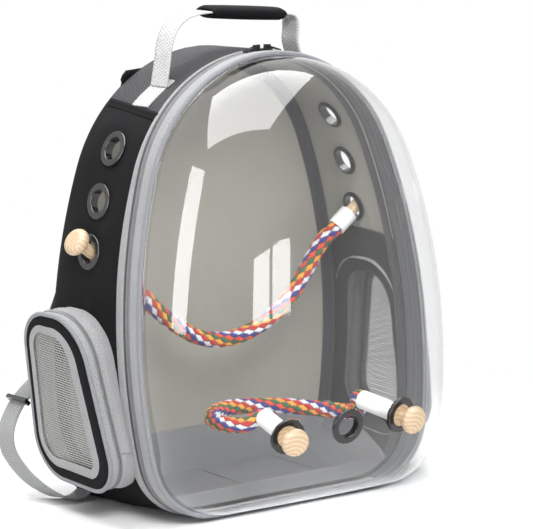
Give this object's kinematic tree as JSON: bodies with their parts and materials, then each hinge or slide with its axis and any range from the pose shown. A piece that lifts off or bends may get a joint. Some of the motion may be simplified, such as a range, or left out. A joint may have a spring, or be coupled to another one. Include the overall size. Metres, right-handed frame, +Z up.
{
  "type": "bird travel carrier",
  "caption": "Backpack carrier for a small bird with a clear domed zip-off front, air eyelets, rope perches, mesh side pockets and a carry handle.",
  "frame": {"origin": "on the floor, at the middle of the base", "axes": "+Z up, the clear front faces -Y, +X to the viewer's right"},
  "size_m": [0.4078, 0.3245, 0.4683],
  "materials": {
    "black_cloth": "matt woven",
    "khaki_lining": "matt woven",
    "gray_net": "open net",
    "dark_tape": "ribbed",
    "light_band": "melange",
    "zip_coil": "nylon coil",
    "piping": "corded",
    "clear_sheet": "clear plastic",
    "gray_tray": "coated",
    "black_plastic": "gloss",
    "beech": "sanded",
    "rope": "braided",
    "white_plastic": "satin",
    "white_webbing": "woven",
    "gray_webbing": "woven",
    "black_pad": "padded",
    "dark_metal": "satin"
  },
  "bodies": {
    "shell": {"back_panel": "black_cloth", "side_panel_left": "black_cloth", "side_panel_right": "black_cloth", "top_panel": "black_cloth", "base_panel": "black_cloth", "back_lining": "khaki_lining", "side_lining_left": "khaki_lining", "side_lining_right": "khaki_lining", "top_lining": "khaki_lining", "inner_net_left": "gray_net", "inner_net_right": "gray_net", "inner_bindings": "dark_tape", "rim_binding": "light_band", "shell_zip": "zip_coil", "floor_tray": "gray_tray", "side_eyelets": "black_plastic", "side_washers": "black_plastic", "back_pad": "black_pad", "strap_anchor": "black_cloth", "strap_pad_left": "black_pad", "strap_pad_right": "black_pad", "strap_webbing_left": "gray_webbing", "strap_webbing_right": "gray_webbing", "strap_buckles": "black_plastic", "strap_tabs": "black_cloth", "handle_tabs": "white_webbing", "side_perch_rope": "rope", "side_perch_ferrules": "white_plastic", "pocket_wall_left": "light_band", "pocket_wall_right": "light_band", "pocket_sliders": "dark_metal"},
    "cover": {"cover_dome": "clear_sheet", "cover_piping": "piping", "cover_band": "light_band", "cover_zip": "zip_coil", "cover_facing": "dark_tape", "front_eyelets": "black_plastic", "front_washers": "black_plastic", "front_perch_rope": "rope", "front_perch_ferrules": "white_plastic"},
    "slider_left": {"zip_slider_left": "dark_metal"},
    "slider_right": {"zip_slider_right": "dark_metal"},
    "pull_left": {"zip_pull_left": "dark_metal"},
    "pull_right": {"zip_pull_right": "dark_metal"},
    "side_knob_left": {"side_knob_left": "beech"},
    "side_knob_right": {"side_knob_right": "beech"},
    "front_knob_left": {"front_knob_left": "beech"},
    "front_knob_right": {"front_knob_right": "beech"},
    "pocket_flap_left": {"pocket_face_left": "black_cloth", "pocket_trim_left": "light_band", "pocket_piping_left": "piping", "pocket_net_left": "gray_net"},
    "pocket_flap_right": {"pocket_face_right": "black_cloth", "pocket_trim_right": "light_band", "pocket_piping_right": "piping", "pocket_net_right": "gray_net"},
    "handle_strap_left": {"handle_strap_left": "white_webbing"},
    "handle_strap_right": {"handle_strap_right": "white_webbing"},
    "handle_grip": {"handle_core": "white_webbing", "handle_grip": "black_pad"}
  },
  "joints": [
    {"name": "cover_hinge", "type": "hinge", "parent": "shell", "child": "cover", "pos_m": [0, -0.07671, 0.00202], "axis": [1, 0, 0], "range_deg": [0, 100]},
    {"name": "zip_travel_left", "type": "hinge", "parent": "shell", "child": "slider_left", "pos_m": [0, -0.04691, 0.28551], "axis": [0, -0.9945, 0.1045], "range_deg": [0, 66]},
    {"name": "zip_travel_right", "type": "hinge", "parent": "shell", "child": "slider_right", "pos_m": [0, -0.04691, 0.28551], "axis": [0, -0.9945, 0.1045], "range_deg": [-60, 0]},
    {"name": "zip_pull_swing_left", "type": "hinge", "parent": "slider_left", "child": "pull_left", "pos_m": [0.00622, -0.03139, 0.43322], "axis": [0, 0.9945, -0.1045], "range_deg": [0, 100]},
    {"name": "zip_pull_swing_right", "type": "hinge", "parent": "slider_right", "child": "pull_right", "pos_m": [0.01863, -0.0315, 0.43218], "axis": [0, -0.9945, 0.1045], "range_deg": [0, 100]},
    {"name": "side_knob_spin_left", "type": "hinge", "parent": "shell", "child": "side_knob_left", "pos_m": [-0.15565, 0.01509, 0.24883], "axis": [-0.7986, 0, 0.6018], "continuous": true},
    {"name": "front_knob_spin_left", "type": "hinge", "parent": "cover", "child": "front_knob_left", "pos_m": [-0.066, -0.17415, 0.09376], "axis": [-0.1829, -0.9742, -0.1325], "continuous": true},
    {"name": "side_knob_spin_right", "type": "hinge", "parent": "shell", "child": "side_knob_right", "pos_m": [0.15565, 0.01509, 0.24883], "axis": [0.7986, 0, 0.6018], "continuous": true},
    {"name": "front_knob_spin_right", "type": "hinge", "parent": "cover", "child": "front_knob_right", "pos_m": [0.066, -0.17415, 0.09376], "axis": [0.1829, -0.9742, -0.1325], "continuous": true},
    {"name": "pocket_flap_left", "type": "hinge", "parent": "shell", "child": "pocket_flap_left", "pos_m": [-0.17379, -0.005, 0.03041], "axis": [0, -1, 0], "range_deg": [0, 30]},
    {"name": "pocket_flap_right", "type": "hinge", "parent": "shell", "child": "pocket_flap_right", "pos_m": [0.17379, -0.005, 0.03041], "axis": [0, 1, 0], "range_deg": [0, 30]},
    {"name": "handle_rack_left", "type": "hinge", "parent": "shell", "child": "handle_strap_left", "pos_m": [-0.0815, 0.004, 0.40166], "axis": [0, -0.9945, 0.1045], "range_deg": [-40, 40]},
    {"name": "handle_grip_level", "type": "hinge", "parent": "handle_strap_left", "child": "handle_grip", "pos_m": [-0.07645, 0.01004, 0.45912], "axis": [0, -0.9945, 0.1045], "range_deg": [-40, 40]},
    {"name": "handle_rack_right", "type": "hinge", "parent": "shell", "child": "handle_strap_right", "pos_m": [0.0815, 0.004, 0.40166], "axis": [0, -0.9945, 0.1045], "range_deg": [-40, 40]}
  ],
  "couplings": [
    {"joint": "handle_grip_level", "follows": "handle_rack_left", "ratio": -1},
    {"joint": "handle_rack_right", "follows": "handle_rack_left", "ratio": 1}
  ]
}
